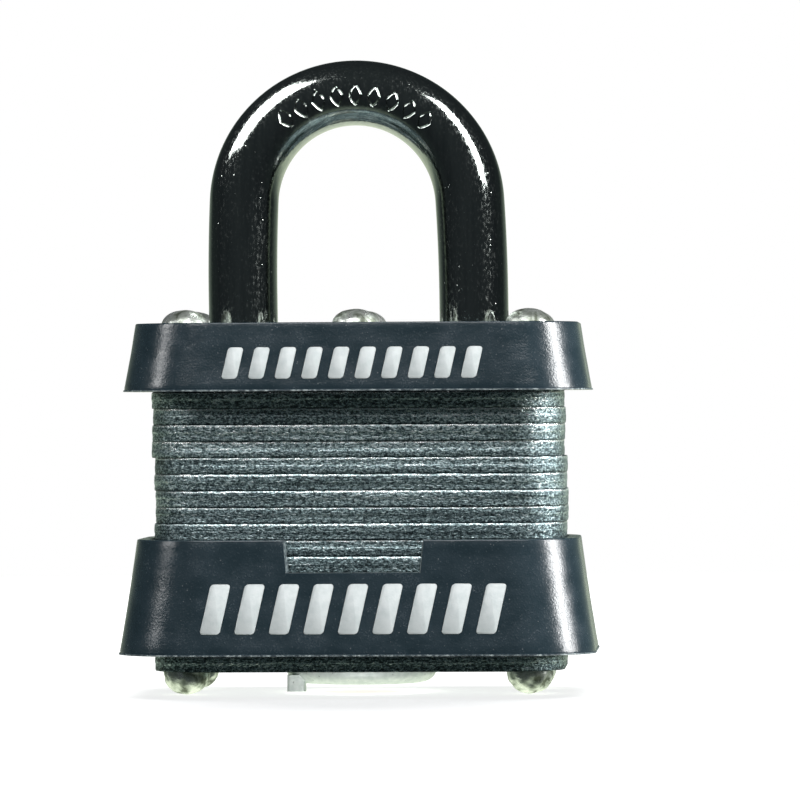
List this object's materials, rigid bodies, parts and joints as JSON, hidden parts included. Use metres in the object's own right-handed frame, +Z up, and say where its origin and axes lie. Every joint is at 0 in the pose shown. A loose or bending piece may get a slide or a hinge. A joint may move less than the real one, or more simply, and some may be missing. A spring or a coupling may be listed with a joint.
{
  "type": "padlock",
  "caption": "Laminated steel padlock: riveted plate body, plastic edge bumpers, round bar shackle, pin cylinder and sprung locking levers.",
  "frame": {"origin": "centre of the bounding box in plan, at the flats of the lower rivet ends that it stands on", "axes": "+Z up towards the shackle's bow, +X to the right seen from the front, -Y the front face"},
  "size_m": [0.046, 0.0282, 0.0617],
  "materials": {
    "zinc_plate": "sheared edge, speckled zinc plating",
    "rivet_steel": "peened, bright",
    "bumper_plastic": "satin moulded",
    "shackle_chrome": "dark polished plating",
    "zinc_guard": "pale zinc",
    "brass": "machined",
    "inlay_white": "satin moulded-in white stripes",
    "spring_steel": "plain wire"
  },
  "bodies": {
    "body": {"plate_01": "zinc_plate", "plate_02": "zinc_plate", "plate_03": "zinc_plate", "plate_04": "zinc_plate", "plate_05": "zinc_plate", "plate_06": "zinc_plate", "plate_07": "zinc_plate", "plate_08": "zinc_plate", "plate_09": "zinc_plate", "plate_10": "zinc_plate", "plate_11": "zinc_plate", "plate_12": "zinc_plate", "plate_13": "zinc_plate", "plate_14": "zinc_plate", "plate_15": "zinc_plate", "plate_16": "zinc_plate", "plate_17": "zinc_plate", "plate_18": "zinc_plate", "plate_19": "zinc_plate", "plate_20": "zinc_plate", "plate_21": "zinc_plate", "rivet_front_left": "rivet_steel", "rivet_front_middle": "rivet_steel", "rivet_front_right": "rivet_steel", "rivet_back_left": "rivet_steel", "rivet_back_middle": "rivet_steel", "rivet_back_right": "rivet_steel", "upper_bumper": "bumper_plastic", "lower_bumper": "bumper_plastic", "cylinder_shell": "brass", "pin_chamber_cover": "spring_steel", "keyway_guard": "zinc_guard", "driver_pin_1": "brass", "driver_pin_2": "brass", "driver_pin_3": "brass", "driver_pin_4": "brass", "pin_spring_1": "spring_steel", "pin_spring_2": "spring_steel", "pin_spring_3": "spring_steel", "pin_spring_4": "spring_steel", "shackle_spring": "spring_steel", "lever_spring": "spring_steel"},
    "shackle": {"shackle": "shackle_chrome"},
    "left_lever": {"left_lever": "brass"},
    "right_lever": {"right_lever": "brass"},
    "plug": {"key_plug": "brass", "drive_cam": "brass", "key_pin_1": "brass", "key_pin_2": "brass", "key_pin_3": "brass", "key_pin_4": "brass"}
  },
  "joints": [
    {"name": "shackle_lift", "type": "slide", "parent": "body", "child": "shackle", "axis": [0, 0, 1], "range_m": [0, 0.01], "deforming": ["shackle_spring"]},
    {"name": "left_lever_slide", "type": "slide", "parent": "body", "child": "left_lever", "axis": [1, 0, 0], "range_m": [0, 0.004], "deforming": ["lever_spring"]},
    {"name": "right_lever_slide", "type": "slide", "parent": "body", "child": "right_lever", "axis": [-1, 0, 0], "range_m": [0, 0.004]},
    {"name": "plug_turn", "type": "hinge", "parent": "body", "child": "plug", "pos_m": [0, 0, 0.0025], "axis": [0, 0, -1], "range_deg": [0, 60]}
  ],
  "couplings": [
    {"joint": "left_lever_slide", "follows": "shackle_lift", "ratio": 0.4},
    {"joint": "right_lever_slide", "follows": "shackle_lift", "ratio": 0.4},
    {"joint": "plug_turn", "follows": "shackle_lift", "rad_per_m": 104.72}
  ]
}
